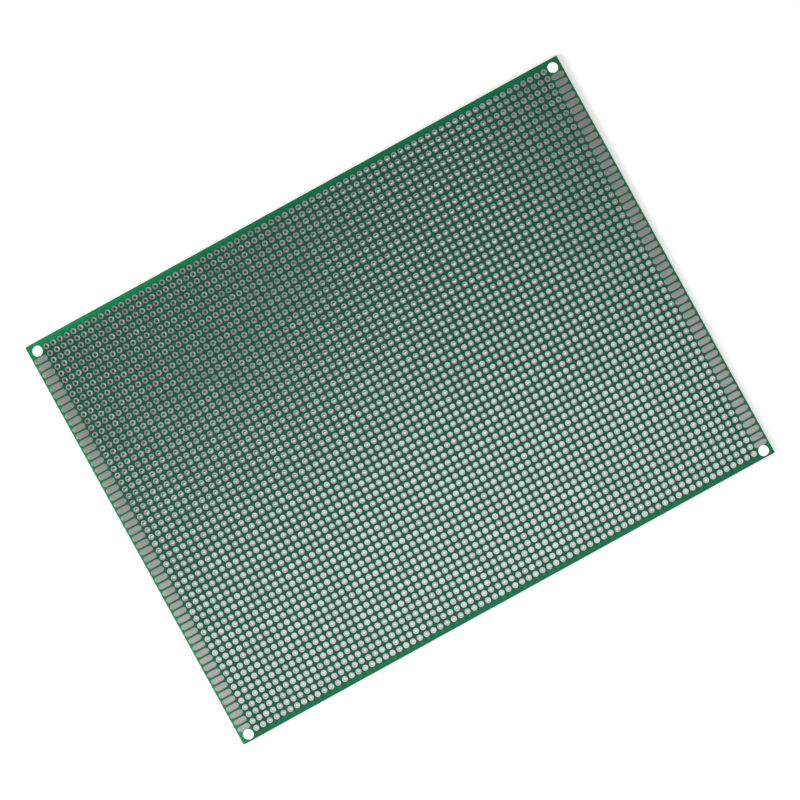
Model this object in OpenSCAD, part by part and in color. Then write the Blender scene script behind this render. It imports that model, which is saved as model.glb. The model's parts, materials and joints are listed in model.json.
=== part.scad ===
// Prototype board: a double-sided sheet of glass-fibre laminate with a full grid of plated
// holes, a column of long pads along each short side and a mounting hole in each corner.
// +X runs along the long side and +Z out of the top face. The origin is the middle of the
// face that the board rests on.

/* [Sheet] */
// Length of the long side
board_l = 198; // [100:1:200]
// Length of the short side
board_w = 148; // [80:1:150]
// Thickness over the solder mask of both faces
board_t = 1.6; // [0.8:0.1:3.2]

/* [Plated holes] */
// Distance from one hole to the next, both ways
pitch = 2.54; // [2.54:0.01:5.08]
// Diameter of the pad round a hole
pad_d = 2.0; // [1.5:0.1:2.2]
// Diameter of the hole that a lead goes through
lead_hole_d = 1.0; // [0.7:0.05:1.2]
// Least distance from a short side to the middle of the first column of holes
column_margin = 6.2; // [6:0.1:12]
// Least distance from a long side to the middle of the first row of holes
row_margin = 2.8; // [2.2:0.1:10]

/* [Solder mask] */
// Height of the mask over the laminate, which is also the height of a pad
mask_h = 0.05; // [0.03:0.01:0.15]
// Strip of laminate left bare between a pad and the mask beside it
mask_gap = 0.1; // [0.05:0.01:0.15]

/* [Long edge pads] */
// Length of a long pad over its round ends
edge_pad_l = 4.5; // [2.5:0.1:5]
// Width of a long pad
edge_pad_w = 2.0; // [1:0.1:2.2]
// Distance from the short side to the middle of a long pad
edge_pad_inset = 2.75; // [2.6:0.05:3]
// How far the columns of long pads sit below the middle of the hole grid
edge_pad_drop = 0.55; // [0:0.05:1]
// Rows of holes at each long side that have no long pad beside them
edge_rows_free = 1; // [1:1:4]

/* [Mounting holes] */
// Diameter of a mounting hole, loose on an M3 screw
mount_hole_d = 3.6; // [2.2:0.1:3.8]
// Distance from a short side to the middle of a mounting hole
mount_inset_l = 2.9; // [2.4:0.05:3]
// Distance from the top long side to the middle of a mounting hole
mount_inset_top = 2.9; // [2.4:0.05:3]
// Distance from the bottom long side to the middle of a mounting hole
mount_inset_bottom = 2.2; // [2.1:0.05:3]

/* [Hidden] */
// Rows of plated holes that share one node
rows_per_group = 3;

// The first column keeps its own margin and also stays clear of the long pads
first_column = max(column_margin, edge_pad_inset + edge_pad_l / 2 + 2 * mask_gap + pad_d / 2);
cols = floor((board_l - 2 * first_column) / pitch) + 1;
rows = floor((board_w - 2 * row_margin) / pitch) + 1;
groups = ceil(rows / rows_per_group);
edge_pads = rows - 2 * edge_rows_free;
core_t = board_t - 2 * mask_h;
window_w = pad_d + 2 * mask_gap;
window_l = (cols - 1) * pitch + window_w;
edge_window_l = edge_pad_l + 2 * mask_gap;
edge_window_w = (edge_pads - 1) * pitch + edge_pad_w + 2 * mask_gap;

function row_y(r) = ((rows - 1) / 2 - r) * pitch;
function col_x(c) = (c - (cols - 1) / 2) * pitch;
function edge_pad_y(k) = row_y(edge_rows_free + k) - edge_pad_drop;
function edge_pad_x(side) = side * (board_l / 2 - edge_pad_inset);
function group_name(g) = str("plated_holes_", g < 9 ? "0" : "", g + 1);

$fn = 32;

// The opening in the mask round one column of long pads
module edge_window(side) {
    translate([edge_pad_x(side), -edge_pad_drop])
        square([edge_window_l, edge_window_w], center = true);
}

module mounting_holes() {
    for (side = [-1, 1], y = [board_w / 2 - mount_inset_top, mount_inset_bottom - board_w / 2])
        translate([side * (board_l / 2 - mount_inset_l), y]) circle(d = mount_hole_d);
}

// The sheet at its full thickness, open where the mask has its windows
module masked_sheet() {
    linear_extrude(board_t)
        difference() {
            square([board_l, board_w], center = true);
            for (r = [0 : rows - 1])
                translate([0, row_y(r)]) square([window_l, window_w], center = true);
            for (side = [-1, 1]) edge_window(side);
            mounting_holes();
        }
}

// The laminate in the window of one row, with a seat for each plated hole
module row_floor(r) {
    translate([0, row_y(r), mask_h])
        linear_extrude(core_t)
            difference() {
                square([window_l, window_w], center = true);
                for (c = [0 : cols - 1]) translate([col_x(c), 0]) circle(d = pad_d);
            }
}

// The laminate in the window of one column of long pads
module edge_floor(side) {
    translate([0, 0, mask_h])
        linear_extrude(core_t)
            difference() {
                edge_window(side);
                mounting_holes();
            }
}

module board() {
    color("#2a6b50") {
        masked_sheet();
        for (r = [0 : rows - 1]) row_floor(r);
        for (side = [-1, 1]) edge_floor(side);
    }
}

// One plated hole: the pads of both faces and the barrel between them, bored through
module plated_hole() {
    linear_extrude(board_t)
        difference() {
            circle(d = pad_d);
            circle(d = lead_hole_d);
        }
}

module plated_holes(g) {
    color("#b9b6b0")
        for (r = [g * rows_per_group : min(rows, (g + 1) * rows_per_group) - 1], c = [0 : cols - 1])
            translate([col_x(c), row_y(r)]) plated_hole();
}

// Outline of a long pad
module long_pad() {
    square([edge_pad_l - edge_pad_w, edge_pad_w], center = true);
    for (end = [-1, 1]) translate([end * (edge_pad_l - edge_pad_w) / 2, 0]) circle(d = edge_pad_w);
}

// The long pads of one column on both faces, cut by the mounting hole that the last one meets
module edge_pads(side) {
    color("#b9b0a8")
        for (z = [0, mask_h + core_t], k = [0 : edge_pads - 1])
            translate([0, 0, z])
                linear_extrude(mask_h)
                    difference() {
                        translate([edge_pad_x(side), edge_pad_y(k)]) long_pad();
                        mounting_holes();
                    }
}

board();
edge_pads(-1);  // edge_pads_left
edge_pads(1);  // edge_pads_right
for (g = [0 : groups - 1])
    plated_holes(g);
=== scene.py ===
import json
import math

import bpy
import numpy as np
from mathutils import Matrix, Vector

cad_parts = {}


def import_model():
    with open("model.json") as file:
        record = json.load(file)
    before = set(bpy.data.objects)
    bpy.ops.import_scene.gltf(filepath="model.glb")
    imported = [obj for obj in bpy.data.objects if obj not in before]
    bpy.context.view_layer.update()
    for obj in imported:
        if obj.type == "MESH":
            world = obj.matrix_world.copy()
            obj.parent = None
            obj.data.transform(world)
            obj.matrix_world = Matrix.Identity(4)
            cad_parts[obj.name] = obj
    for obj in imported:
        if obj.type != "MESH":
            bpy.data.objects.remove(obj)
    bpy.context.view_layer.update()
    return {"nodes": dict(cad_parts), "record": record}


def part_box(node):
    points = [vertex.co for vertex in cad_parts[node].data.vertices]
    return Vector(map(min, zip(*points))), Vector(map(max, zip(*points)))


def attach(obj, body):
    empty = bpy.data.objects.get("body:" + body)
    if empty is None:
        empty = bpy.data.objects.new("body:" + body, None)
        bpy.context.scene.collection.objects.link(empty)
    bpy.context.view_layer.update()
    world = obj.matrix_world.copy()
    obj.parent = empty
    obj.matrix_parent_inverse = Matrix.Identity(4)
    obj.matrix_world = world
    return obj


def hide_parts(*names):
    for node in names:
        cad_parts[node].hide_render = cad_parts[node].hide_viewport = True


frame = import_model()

MM = 0.001

# Counts of the grid, which its packed boxes don't give by themselves
COLUMNS = 74
ROWS = 57

LEAD_HOLE_R = 0.5 * MM
MASK_H = 0.05 * MM
MOUNT_HOLE_R = 1.8 * MM

# The photograph shows 261.2 mm of the board's plane across, turned by 28.83 degrees
PHOTO_WIDTH = 261.2 * MM
PHOTO_TURN = math.radians(-28.83)
CAMERA_HEIGHT = 0.9
SENSOR_MM = 36.0

board_low, board_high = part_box("board")
BOARD_T = board_high.z - board_low.z
HALF_L = board_high.x
HALF_W = board_high.y

hole_nodes = sorted(n for n in frame["nodes"] if n.startswith("plated_holes_"))
pad_nodes = ["edge_pads_left", "edge_pads_right"]


def grid_measures():
    """Pitch and pad radius, from the width of one group of rows and the depth of them all."""
    lows, highs = zip(*(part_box(n) for n in hole_nodes))
    width = highs[0].x - lows[0].x
    depth = max(h.y for h in highs) - min(low.y for low in lows)
    step = (width - depth) / (COLUMNS - ROWS)
    return step, (width - (COLUMNS - 1) * step) / 2


PITCH, PAD_R = grid_measures()

# Middle of the hole at the left end of the last row
FIRST_COLUMN_X = -(COLUMNS - 1) / 2 * PITCH
LAST_ROW_Y = -(ROWS - 1) / 2 * PITCH


def new_mesh(name, verts, faces):
    """A smooth mesh object from an array of points and a list of faces."""
    mesh = bpy.data.meshes.new(name)
    mesh.from_pydata(verts.tolist(), [], faces)
    mesh.polygons.foreach_set("use_smooth", np.ones(len(mesh.polygons), bool))
    mesh.update()
    obj = bpy.data.objects.new(name, mesh)
    bpy.context.scene.collection.objects.link(obj)
    return obj


def quads_between(loops, around, closed):
    """Quads that join loops of points, each with the given number of points around."""
    quads = []
    for k in range(loops if closed else loops - 1):
        for i in range(around):
            j = (i + 1) % around
            a, b = k * around, (k + 1) % loops * around
            quads.append((a + i, a + j, b + j, b + i))
    return quads


# Plated holes. The crown is flat between two radii, and falls to the hole's lip inside them and to
# the pad's rim outside them.

SLEEVE_SIDES = 12
CROWN_FLAT_IN = 0.60 * MM
CROWN_FLAT_OUT = 0.93 * MM
LIP_DROP = 0.045 * MM


def sleeve_profile():
    """Radius and height along the skin of one plated hole, from lower rim to upper rim."""
    falls = ((PAD_R, MASK_H), (CROWN_FLAT_OUT, 0.0), (CROWN_FLAT_IN, 0.0), (LEAD_HOLE_R, LIP_DROP))
    upper = [(radius, BOARD_T - fall) for radius, fall in reversed(falls)]
    return list(falls) + upper


def sleeve():
    """Points and quads of one plated hole about the vertical axis, closed round its section."""
    profile = sleeve_profile()
    points = []
    for radius, height in profile:
        for i in range(SLEEVE_SIDES):
            angle = 2 * math.pi * (i + 0.5) / SLEEVE_SIDES
            points.append((radius * math.cos(angle), radius * math.sin(angle), height))
    return np.array(points), quads_between(len(profile), SLEEVE_SIDES, closed=True)


def sharpen_rims(mesh, points_each):
    """Keeps the crowns flat up to the loops where their outer slopes start."""
    ends = np.empty(2 * len(mesh.edges), int)
    mesh.edges.foreach_get("vertices", ends)
    loops = ends.reshape(-1, 2) % points_each // SLEEVE_SIDES
    rims = [k for k, (radius, _) in enumerate(sleeve_profile()) if radius == CROWN_FLAT_OUT]
    sharp = (loops[:, 0] == loops[:, 1]) & np.isin(loops[:, 0], rims)
    mesh.edges.foreach_set("use_edge_sharp", sharp)
    mesh.update()


def group_centres(node):
    """Middles of the plated holes in one group of rows, row by row."""
    low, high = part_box(node)
    rows = round((high.y - low.y - 2 * PAD_R) / PITCH) + 1
    xs = low.x + PAD_R + PITCH * np.arange(COLUMNS)
    ys = low.y + PAD_R + PITCH * np.arange(rows)
    return [(x, y, 0.0) for y in ys for x in xs]


def solder_sleeves(node):
    """The crowned plated holes of one group, in place of its plain ones."""
    points, quads = sleeve()
    centres = np.array(group_centres(node))
    verts = (points[None, :, :] + centres[:, None, :]).reshape(-1, 3)
    steps = np.arange(len(centres)) * len(points)
    faces = (np.array(quads)[None, :, :] + steps[:, None, None]).reshape(-1, 4)
    piece = new_mesh(node.replace("plated_holes", "solder_sleeves"), verts, faces.tolist())
    sharpen_rims(piece.data, len(points))
    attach(piece, "root")
    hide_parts(node)
    return piece


# Node graphs


class Graph:
    """A short way to write maths in a material's nodes."""

    def __init__(self, name):
        self.material = bpy.data.materials.new(name)
        self.material.use_nodes = True
        self.tree = self.material.node_tree
        self.shader = self.tree.nodes["Principled BSDF"]
        self.place = self.add("ShaderNodeTexCoord").outputs["Object"]
        split = self.add("ShaderNodeSeparateXYZ")
        self.tree.links.new(self.place, split.inputs[0])
        self.x, self.y, self.z = split.outputs

    def add(self, kind, **settings):
        node = self.tree.nodes.new(kind)
        for key, value in settings.items():
            setattr(node, key, value)
        return node

    def feed(self, socket, value):
        if isinstance(value, bpy.types.NodeSocket):
            self.tree.links.new(value, socket)
        else:
            socket.default_value = value

    def maths(self, operation, *values):
        node = self.add("ShaderNodeMath", operation=operation)
        for socket, value in zip(node.inputs, values):
            self.feed(socket, value)
        return node.outputs[0]

    def ramp(self, value, start, end, kind="SMOOTHSTEP"):
        """0 at start and 1 at end, smooth or straight between them."""
        node = self.add("ShaderNodeMapRange", interpolation_type=kind)
        for key, number in (("Value", value), ("From Min", start), ("From Max", end)):
            self.feed(node.inputs[key], number)
        return node.outputs["Result"]

    def span(self, value, low, high):
        """Runs a value from 0 to 1 out to another range."""
        return self.maths("MULTIPLY_ADD", value, high - low, low)

    def band(self, value, low, high):
        """1 between two limits and 0 outside them."""
        above = self.maths("GREATER_THAN", value, low)
        return self.maths("MULTIPLY", above, self.maths("LESS_THAN", value, high))

    def mix(self, share, first, second):
        """Colour between two, which are sockets or (r, g, b)."""
        node = self.add("ShaderNodeMix", data_type="RGBA", clamp_factor=True)
        self.feed(node.inputs[0], share)
        for socket, value in ((node.inputs[6], first), (node.inputs[7], second)):
            self.feed(socket, value if isinstance(value, bpy.types.NodeSocket) else (*value, 1.0))
        return node.outputs[2]

    def scaled(self, colour, share):
        """A colour multiplied by a number socket."""
        node = self.add("ShaderNodeVectorMath", operation="SCALE")
        self.feed(node.inputs[0], colour)
        self.feed(node.inputs["Scale"], share)
        return node.outputs[0]

    def noise(self, scale, detail=2.0, stretch=(1.0, 1.0, 1.0)):
        """Noise from 0 to 1, with the scale in cells for each metre."""
        mapping = self.add("ShaderNodeMapping")
        self.feed(mapping.inputs["Vector"], self.place)
        mapping.inputs["Scale"].default_value = stretch
        node = self.add("ShaderNodeTexNoise")
        self.feed(node.inputs["Vector"], mapping.outputs[0])
        node.inputs["Scale"].default_value = scale
        node.inputs["Detail"].default_value = detail
        return node.outputs[0]

    def cell_random(self):
        """A number from 0 to 1 for each pitch of the grid."""
        join = self.add("ShaderNodeCombineXYZ")
        for socket, value in ((join.inputs[0], self.x), (join.inputs[1], self.y)):
            self.feed(socket, self.maths("ROUND", self.grid_step(value)))
        node = self.add("ShaderNodeTexWhiteNoise", noise_dimensions="3D")
        self.feed(node.inputs["Vector"], join.outputs[0])
        return node.outputs["Value"]

    def grid_step(self, value):
        """Place along an axis in pitches, whole at each hole's middle."""
        first = FIRST_COLUMN_X if value is self.x else LAST_ROW_Y
        return self.maths("DIVIDE", self.maths("SUBTRACT", value, first), PITCH)

    def off_centre(self, value):
        """Distance from the nearest hole's middle along an axis."""
        steps = self.grid_step(value)
        off = self.maths("SUBTRACT", steps, self.maths("ROUND", steps))
        return self.maths("MULTIPLY", off, PITCH)

    def length(self, dx, dy):
        squares = self.maths("ADD", self.maths("MULTIPLY", dx, dx), self.maths("MULTIPLY", dy, dy))
        return self.maths("SQRT", squares)

    def hole_distance(self):
        """Distance from the nearest lead hole's middle in the plane."""
        return self.length(self.off_centre(self.x), self.off_centre(self.y))

    def point_distance(self, x, y):
        """Distance from one point of the plane."""
        return self.length(self.maths("SUBTRACT", self.x, x), self.maths("SUBTRACT", self.y, y))

    def edge_distance(self):
        """Distance inwards from the nearest side of the board."""
        to_short = self.maths("SUBTRACT", HALF_L, self.maths("ABSOLUTE", self.x))
        to_long = self.maths("SUBTRACT", HALF_W, self.maths("ABSOLUTE", self.y))
        return self.maths("MINIMUM", to_short, to_long)

    def facing_up(self):
        """1 on flat faces and 0 on upright ones."""
        split = self.add("ShaderNodeSeparateXYZ")
        self.feed(split.inputs[0], self.add("ShaderNodeNewGeometry").outputs["Normal"])
        return self.maths("GREATER_THAN", self.maths("ABSOLUTE", split.outputs[2]), 0.5)

    def bump(self, height, depth):
        node = self.add("ShaderNodeBump")
        node.inputs["Strength"].default_value = 1.0
        node.inputs["Distance"].default_value = depth
        self.feed(node.inputs["Height"], height)
        self.feed(self.shader.inputs["Normal"], node.outputs[0])


# Solder mask. Colours are in linear light, sizes in metres, and noise in cells for each metre.

MASK_FIELD = (0.004, 0.120, 0.059)
MASK_MARGIN = (0.004, 0.150, 0.065)
MASK_LIT_EDGE = (0.005, 0.270, 0.100)
MASK_OUTLINE = (0.004, 0.028, 0.019)
MASK_FRAYED = (0.42, 0.50, 0.44)
MASK_PRINT = (0.060, 0.270, 0.160)
LAMINATE_PALE = (0.36, 0.37, 0.17)
LAMINATE_DARK = (0.20, 0.24, 0.10)

# The field's tone starts and is full at these distances past the outer holes' cells, in pitches
FIELD_START = 0.1
FIELD_FULL = -0.3

# Painted light on the mask along the left side, and along the top side, most of all at its left end
LEFT_GLOW_REACH = 3 * MM
TOP_GLOW_REACH = 5 * MM
TOP_GLOW_RIGHT_SHARE = 0.2

# The dark line round a pad, full up to the first distance from its rim and gone at the second
OUTLINE_FULL = 0.05 * MM
OUTLINE_GONE = 0.20 * MM
OUTLINE_SHARE = 0.85

# Faint printed marks in the lower margin, one under each column
MARKS_Y = (LAST_ROW_Y - 2.15 * MM, LAST_ROW_Y - 1.25 * MM)
MARK_HALF = 0.45 * MM
MARK_SHARE = 0.2

# Frayed mask along the short sides, more on the left one
FRAY_DEPTH = 0.35 * MM
FRAY_NOISE = 1300.0
FRAY_FROM = 0.45
FRAY_TO = 0.62
FRAY_SHARES = (0.25, 0.55)

WEAVE_X = 0.55 * MM
WEAVE_Y = 0.45 * MM
WEAVE_TONE = 0.05
WEAVE_RELIEF = 0.4
MOTTLE_NOISE = 420.0
MOTTLE_TONES = (0.82, 1.18)
STRATA_NOISE = 900.0
STRATA_STRETCH = (0.3, 0.3, 9.0)
GRAIN_NOISE = 2600.0
MASK_RELIEF = 0.006 * MM
MASK_ROUGHNESS = 0.5
SAWN_ROUGHNESS = 0.7
MASK_SPECULAR = 0.15


def grid_area(g):
    """1 over the field of holes, and 0 in the margins round it."""
    inside = []
    for value, count in ((g.x, COLUMNS), (g.y, ROWS)):
        start, full = (count / 2 + FIELD_START) * PITCH, (count / 2 + FIELD_FULL) * PITCH
        inside.append(g.ramp(g.maths("ABSOLUTE", value), start, full))
    return g.maths("MULTIPLY", *inside)


def mask_green(g):
    """Tones of the field and the margins, with painted light along the left side and the top side.
    """
    in_grid = grid_area(g)
    field = g.mix(in_grid, MASK_MARGIN, MASK_FIELD)
    left_glow = g.ramp(g.x, LEFT_GLOW_REACH - HALF_L, -HALF_L)
    towards_left = g.span(g.ramp(g.x, 0.0, -HALF_L), TOP_GLOW_RIGHT_SHARE, 1.0)
    top_glow = g.maths("MULTIPLY", g.ramp(g.y, HALF_W - TOP_GLOW_REACH, HALF_W), towards_left)
    colour = g.mix(g.maths("MAXIMUM", left_glow, top_glow), field, MASK_LIT_EDGE)
    near_pad = g.ramp(g.hole_distance(), PAD_R + OUTLINE_GONE, PAD_R + OUTLINE_FULL)
    outline = g.maths("MULTIPLY", near_pad, in_grid)
    return g.mix(g.maths("MULTIPLY", outline, OUTLINE_SHARE), colour, MASK_OUTLINE)


def printed(g, colour):
    """The colour with the faint marks on it."""
    under_column = g.band(g.off_centre(g.x), -MARK_HALF, MARK_HALF)
    marks = g.maths("MULTIPLY", g.band(g.y, *MARKS_Y), under_column)
    marks = g.maths("MULTIPLY", marks, g.band(g.x, -COLUMNS / 2 * PITCH, COLUMNS / 2 * PITCH))
    return g.mix(g.maths("MULTIPLY", marks, MARK_SHARE), colour, MASK_PRINT)


def frayed(g, colour):
    """The colour with the worn spots of the short sides on it."""
    from_end = g.maths("SUBTRACT", HALF_L, g.maths("ABSOLUTE", g.x))
    spots = g.ramp(g.noise(FRAY_NOISE), FRAY_FROM, FRAY_TO)
    worn = g.maths("MULTIPLY", g.ramp(from_end, FRAY_DEPTH, 0.0), spots)
    share = g.span(g.ramp(g.x, HALF_L, -HALF_L), *FRAY_SHARES)
    return g.mix(g.maths("MULTIPLY", worn, share), colour, MASK_FRAYED)


def mask_material():
    """Solder mask over glass cloth, with the sawn laminate on the upright faces."""
    g = Graph("solder_mask")
    colour = frayed(g, printed(g, mask_green(g)))
    weave_x = g.maths("SINE", g.maths("MULTIPLY", g.x, 2 * math.pi / WEAVE_X))
    weave_y = g.maths("SINE", g.maths("MULTIPLY", g.y, 2 * math.pi / WEAVE_Y))
    weave = g.maths("MULTIPLY", weave_x, weave_y)
    mottle = g.span(g.noise(MOTTLE_NOISE, detail=3.0), *MOTTLE_TONES)
    colour = g.scaled(colour, g.maths("ADD", mottle, g.maths("MULTIPLY", weave, WEAVE_TONE)))
    strata = g.noise(STRATA_NOISE, stretch=STRATA_STRETCH)
    sawn = g.mix(strata, LAMINATE_PALE, LAMINATE_DARK)
    from_middle = g.maths("ABSOLUTE", g.maths("SUBTRACT", g.z, BOARD_T / 2))
    in_core = g.maths("LESS_THAN", from_middle, BOARD_T / 2 - MASK_H)
    upright = g.maths("MULTIPLY", g.maths("SUBTRACT", 1.0, g.facing_up()), in_core)
    g.feed(g.shader.inputs["Base Color"], g.mix(upright, colour, sawn))
    g.feed(g.shader.inputs["Roughness"], g.span(upright, MASK_ROUGHNESS, SAWN_ROUGHNESS))
    g.shader.inputs["Specular IOR Level"].default_value = MASK_SPECULAR
    height = g.maths("ADD", g.maths("MULTIPLY", weave, WEAVE_RELIEF), g.noise(GRAIN_NOISE))
    g.bump(height, MASK_RELIEF)
    return g.material


# Tin

RING_TIN = ((0.42, 0.42, 0.41), (0.75, 0.745, 0.73))
RING_ROUGHNESS = (0.28, 0.42)
PAD_TIN = ((0.34, 0.325, 0.32), (0.42, 0.40, 0.395))
PAD_ROUGHNESS = (0.40, 0.54)
# Share of the tin's colour left in a hole's barrel, which is painted shade
BARREL_SHADE_SHARE = 0.5
TIN_METALLIC = 0.8
TIN_CLOUD_NOISE = 1500.0
TIN_CLOUD_SHARE = 0.45
TIN_RELIEF_NOISE = 2200.0
TIN_RELIEF = 0.012 * MM


def tin_material(name, shades, roughness, with_barrel_shade):
    """Hot-air levelled tin between two shades, a little different on each pad, with painted shade
    darkening a hole's barrel and lip where that is asked for.
    """
    g = Graph(name)
    cloud = g.noise(TIN_CLOUD_NOISE, detail=3.0)
    each = g.maths("MULTIPLY", g.cell_random(), 1.0 - TIN_CLOUD_SHARE)
    share = g.maths("ADD", each, g.maths("MULTIPLY", cloud, TIN_CLOUD_SHARE))
    colour = g.mix(share, *shades)
    # Painted shade: the tin darkens inside a hole's barrel and on its lip
    if with_barrel_shade:
        outside = g.ramp(g.hole_distance(), LEAD_HOLE_R, CROWN_FLAT_IN)
        colour = g.scaled(colour, g.span(outside, BARREL_SHADE_SHARE, 1.0))
    g.feed(g.shader.inputs["Roughness"], g.span(cloud, *roughness))
    g.feed(g.shader.inputs["Base Color"], colour)
    g.shader.inputs["Metallic"].default_value = TIN_METALLIC
    g.bump(g.noise(TIN_RELIEF_NOISE), TIN_RELIEF)
    return g.material


def paint(obj, material):
    """Gives the whole object one material, in every slot that it has."""
    if obj.material_slots:
        for material_slot in obj.material_slots:
            material_slot.material = material
    else:
        obj.data.materials.append(material)


# Long pads. The crown is given by insets from the pad's outline and the rise at each.

PAD_END_SIDES = 8
PAD_RUN_SIDES = 8
PAD_CROWN = ((0.0, 0.0), (0.02 * MM, 0.027 * MM), (0.14 * MM, 0.046 * MM), (0.36 * MM, MASK_H))


def stadium(half_run, radius):
    """Points round a pad with round ends: an end, a straight side, the other end and side."""
    points = []
    for end, start in ((1, -math.pi / 2), (-1, math.pi / 2)):
        for i in range(PAD_END_SIDES + 1):
            angle = start + math.pi * i / PAD_END_SIDES
            points.append((end * half_run + radius * math.cos(angle), radius * math.sin(angle)))
        for i in range(1, PAD_RUN_SIDES):
            points.append((end * half_run * (1 - 2 * i / PAD_RUN_SIDES), end * radius))
    return points


def mounting_holes():
    """Middles of the mounting holes, as the record gives them."""
    bolts = next(m for m in frame["record"]["mounts"] if m["name"] == "mounting_holes")
    half_x, half_y = (bolts["dims"][f"spacing_{axis}_mm"] * MM / 2 for axis in "xy")
    x, y, _ = bolts["pos_m"]
    return [(x + i * half_x, y + j * half_y) for i in (-1, 1) for j in (-1, 1)]


def clear_of_holes(x, y, inset):
    """The point, moved along Y out of any mounting hole that it would hang over."""
    reach = MOUNT_HOLE_R + inset
    for hole_x, hole_y in mounting_holes():
        if math.hypot(x - hole_x, y - hole_y) < reach:
            aside = math.sqrt(reach**2 - (x - hole_x) ** 2)
            y = hole_y + math.copysign(aside, y - hole_y)
    return x, y


def pad_centres(node):
    """Middles of the long pads in one column."""
    low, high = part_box(node)
    count = round((high.y - low.y - 2 * PAD_R) / PITCH) + 1
    ys = high.y - PAD_R - PITCH * np.arange(count)
    return [((low.x + high.x) / 2, y) for y in ys]


def long_pads(node):
    """The crowned long pads of one column on both faces, in place of its plain ones."""
    low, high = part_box(node)
    half_run = (high.x - low.x) / 2 - PAD_R
    around = 2 * (PAD_END_SIDES + PAD_RUN_SIDES)
    sides = quads_between(len(PAD_CROWN), around, closed=False)
    last = (len(PAD_CROWN) - 1) * around
    caps = [tuple(reversed(range(around))), tuple(range(last, last + around))]
    verts, faces = [], []
    for pad_x, pad_y in pad_centres(node):
        for up in (True, False):
            start = len(verts)
            for inset, rise in PAD_CROWN:
                z = BOARD_T - MASK_H + rise if up else MASK_H - rise
                for x, y in stadium(half_run, PAD_R - inset):
                    verts.append((*clear_of_holes(pad_x + x, pad_y + y, inset), z))
            for face in sides + caps:
                order = face if up else tuple(reversed(face))
                faces.append(tuple(start + i for i in order))
    piece = new_mesh(node.replace("edge_pads", "solder_pads"), np.array(verts), faces)
    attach(piece, "root")
    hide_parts(node)
    return piece


# Floor, world, lamps and camera

FLOOR_HALF = 3.0
FLOOR_DROP = 0.02 * MM
UNDERSIDE_DROP = 0.5 * MM
FLOOR_ROUGHNESS = 0.9
FLOOR_COLOUR = (0.9, 0.9, 0.9)
# The dark floor under the board is painted shade, seen through the lead holes
UNDER_BOARD_SHADE_COLOUR = (0.2, 0.2, 0.2)
GLOW_COLOUR = (0.96, 0.985, 1.0)

# Glow of the open floor near the board and far from it, the distances between which it rises,
# negative as they are outside the board, and what is added in a mounting hole and just round it
NEAR_FLOOR_GLOW = 0.34
FAR_FLOOR_GLOW = 0.75
FLOOR_RISE = (-0.15, -0.8)
HOLE_FLOOR_GLOW = 0.4
HOLE_FLOOR_SPARE = 0.2 * MM

# Painted light on the dark floor under the board, seen through the lead holes: its level where it
# is lit, in its upper right corner, and in painted shade
PAINTED_HOLE_LIGHT = 0.66
PAINTED_CORNER_LIGHT = 0.16
PAINTED_HOLE_SHADE = 0.028
PAINTED_LIGHT_BLUR = 0.06 * MM

# Places over which the painted light changes, along Y for the lower half and along X for the rest
LOWER_HALF = (62 * MM, -24 * MM)
RIGHT_HALF = (-60 * MM, 50 * MM)
RIGHT_CORNER = (55 * MM, 90 * MM)

# Where the painted light ends in a hole, from the hole's middle along Y: in the upper left, in the
# lower half, and how much further up it comes in the upper right
REACH_DARK = -0.55 * MM
REACH_LIT = 0.42 * MM
REACH_RIGHT = 0.70 * MM

# Heights in the sky, as the sine of elevation, between which it fades, and its levels there
SKY_FADE = {"From Min": 0.12, "From Max": 0.40, "To Min": 1.0, "To Max": 0.22}

# Name, place, aim, size, level and colour of each lamp
WARM_WHITE = (1.0, 0.99, 0.97)
COOL_WHITE = (0.98, 0.99, 1.0)
LAMPS = (
    ("left", (-0.55, 0.12, 0.45), (0.0, 0.0, 0.0), (0.3, 0.3), 0.35, WARM_WHITE),
    ("right", (0.55, 0.05, 0.45), (0.0, 0.0, 0.0), (0.3, 0.3), 0.11, COOL_WHITE),
    ("overhead", (-0.01, -0.085, 0.18), (-0.01, -0.085, 0.0), (0.28, 0.12), 0.50, COOL_WHITE),
)


def floor_plane(name, drop, material):
    """A large square below the board, which belongs to the stage."""
    corners = [(i * FLOOR_HALF, j * FLOOR_HALF, 0) for i, j in ((-1, -1), (1, -1), (1, 1), (-1, 1))]
    obj = new_mesh(name, np.array(corners), [(0, 1, 2, 3)])
    obj.location.z = -drop
    paint(obj, material)


def painted_hole_light(g):
    """Painted light on the dark floor under the board, drawn as if it came up at a slant.

    The lower half's holes are nearly full of it, those of the middle are lit at their lower side
    only, and those of the upper left stay in painted shade.
    """
    lower = g.ramp(g.y, *LOWER_HALF, "LINEAR")
    upper = g.maths("SUBTRACT", 1.0, lower)
    right = g.maths("MULTIPLY", upper, g.ramp(g.x, *RIGHT_HALF))
    reach = g.maths("MULTIPLY_ADD", right, REACH_RIGHT, g.span(lower, REACH_DARK, REACH_LIT))
    # Painted light at each hole's lower side, with painted shade above it
    lit = g.ramp(g.maths("SUBTRACT", g.off_centre(g.y), reach), PAINTED_LIGHT_BLUR, -PAINTED_LIGHT_BLUR)
    corner = g.maths("MULTIPLY", upper, g.ramp(g.x, *RIGHT_CORNER))
    glow = g.maths("MULTIPLY", lit, g.span(corner, PAINTED_HOLE_LIGHT, PAINTED_CORNER_LIGHT))
    return g.maths("MAXIMUM", glow, PAINTED_HOLE_SHADE)


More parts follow.
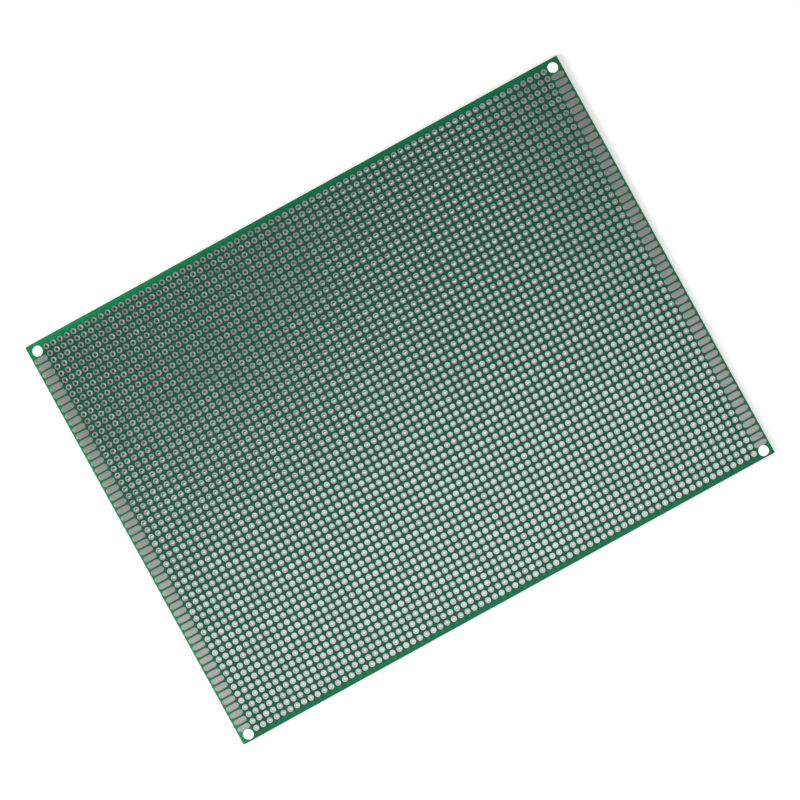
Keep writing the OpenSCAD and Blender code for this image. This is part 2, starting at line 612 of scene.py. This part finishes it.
def floor_material():
    """White floor round the board and in its mounting holes; painted light and shade under the
    rest.
    """
    g = Graph("floor_white_and_painted_hole_light")
    g.shader.inputs["Roughness"].default_value = FLOOR_ROUGHNESS
    g.shader.inputs["Specular IOR Level"].default_value = 0.0
    path = g.add("ShaderNodeLightPath")
    seen = g.maths("MAXIMUM", path.outputs["Is Camera Ray"], path.outputs["Is Glossy Ray"])
    seen = g.maths("MAXIMUM", seen, path.outputs["Is Transmission Ray"])
    in_hole = 0.0
    for x, y in mounting_holes():
        near = g.maths("LESS_THAN", g.point_distance(x, y), MOUNT_HOLE_R + HOLE_FLOOR_SPARE)
        in_hole = g.maths("MAXIMUM", in_hole, near)
    open_floor = g.maths("MAXIMUM", in_hole, g.maths("LESS_THAN", g.edge_distance(), 0.0))
    g.feed(g.shader.inputs["Base Color"], g.mix(open_floor, UNDER_BOARD_SHADE_COLOUR, FLOOR_COLOUR))
    bare = g.span(g.ramp(g.edge_distance(), *FLOOR_RISE), NEAR_FLOOR_GLOW, FAR_FLOOR_GLOW)
    bare = g.maths("ADD", bare, g.maths("MULTIPLY", in_hole, HOLE_FLOOR_GLOW))
    glow = g.add("ShaderNodeMix", data_type="FLOAT")
    for slot, value in ((0, open_floor), (2, painted_hole_light(g)), (3, bare)):
        g.feed(glow.inputs[slot], value)
    g.shader.inputs["Emission Color"].default_value = (*GLOW_COLOUR, 1.0)
    g.feed(g.shader.inputs["Emission Strength"], g.maths("MULTIPLY", seen, glow.outputs[0]))
    return g.material


def floor():
    """The floor, on a plain sheet that covers its underside."""
    floor_plane("floor", FLOOR_DROP, floor_material())
    plain = Graph("floor_plain")
    plain.shader.inputs["Base Color"].default_value = (*FLOOR_COLOUR, 1.0)
    plain.shader.inputs["Roughness"].default_value = FLOOR_ROUGHNESS
    floor_plane("floor_underside", UNDERSIDE_DROP, plain.material)


def world():
    """A studio that is white near the horizon and dim overhead."""
    studio = bpy.data.worlds.new("studio")
    studio.use_nodes = True
    tree = studio.node_tree
    direction = tree.nodes.new("ShaderNodeTexCoord").outputs["Generated"]
    split = tree.nodes.new("ShaderNodeSeparateXYZ")
    tree.links.new(direction, split.inputs[0])
    fade = tree.nodes.new("ShaderNodeMapRange")
    fade.interpolation_type = "SMOOTHSTEP"
    tree.links.new(split.outputs[2], fade.inputs["Value"])
    for key, value in SKY_FADE.items():
        fade.inputs[key].default_value = value
    background = tree.nodes["Background"]
    tree.links.new(fade.outputs["Result"], background.inputs["Strength"])
    background.inputs["Color"].default_value = (1.0, 1.0, 1.0, 1.0)
    bpy.context.scene.world = studio


def softbox(name, place, aim, size, level, colour):
    """An area lamp that makes a white surface at its aim, facing up, as bright as the level."""
    data = bpy.data.lights.new(name, "AREA")
    data.shape = "RECTANGLE"
    data.size, data.size_y = size
    data.color = colour
    away = np.array(place) - np.array(aim)
    far = float(np.linalg.norm(away))
    rise = away[2] / far
    data.energy = level * math.pi * math.pi * far * far / rise
    obj = bpy.data.objects.new(name, data)
    bpy.context.scene.collection.objects.link(obj)
    obj.location = place
    obj.rotation_mode = "QUATERNION"
    obj.rotation_quaternion = Vector(away.tolist()).to_track_quat("Z", "Y")
    obj.visible_camera = False


def camera():
    data = bpy.data.cameras.new("camera")
    data.sensor_width = SENSOR_MM
    data.lens = SENSOR_MM * (CAMERA_HEIGHT - BOARD_T) / PHOTO_WIDTH
    obj = bpy.data.objects.new("camera", data)
    bpy.context.scene.collection.objects.link(obj)
    obj.location = (0.0, 0.0, CAMERA_HEIGHT)
    obj.rotation_euler = (0.0, 0.0, PHOTO_TURN)
    bpy.context.scene.camera = obj


camera()
bpy.context.scene.view_settings.view_transform = "Standard"
world()
floor()
for lamp in LAMPS:
    softbox(*lamp)

paint(frame["nodes"]["board"], mask_material())
ring_tin = tin_material("ring_tin", RING_TIN, RING_ROUGHNESS, with_barrel_shade=True)
pad_tin = tin_material("pad_tin", PAD_TIN, PAD_ROUGHNESS, with_barrel_shade=False)
for node in hole_nodes:
    paint(solder_sleeves(node), ring_tin)
for node in pad_nodes:
    paint(long_pads(node), pad_tin)
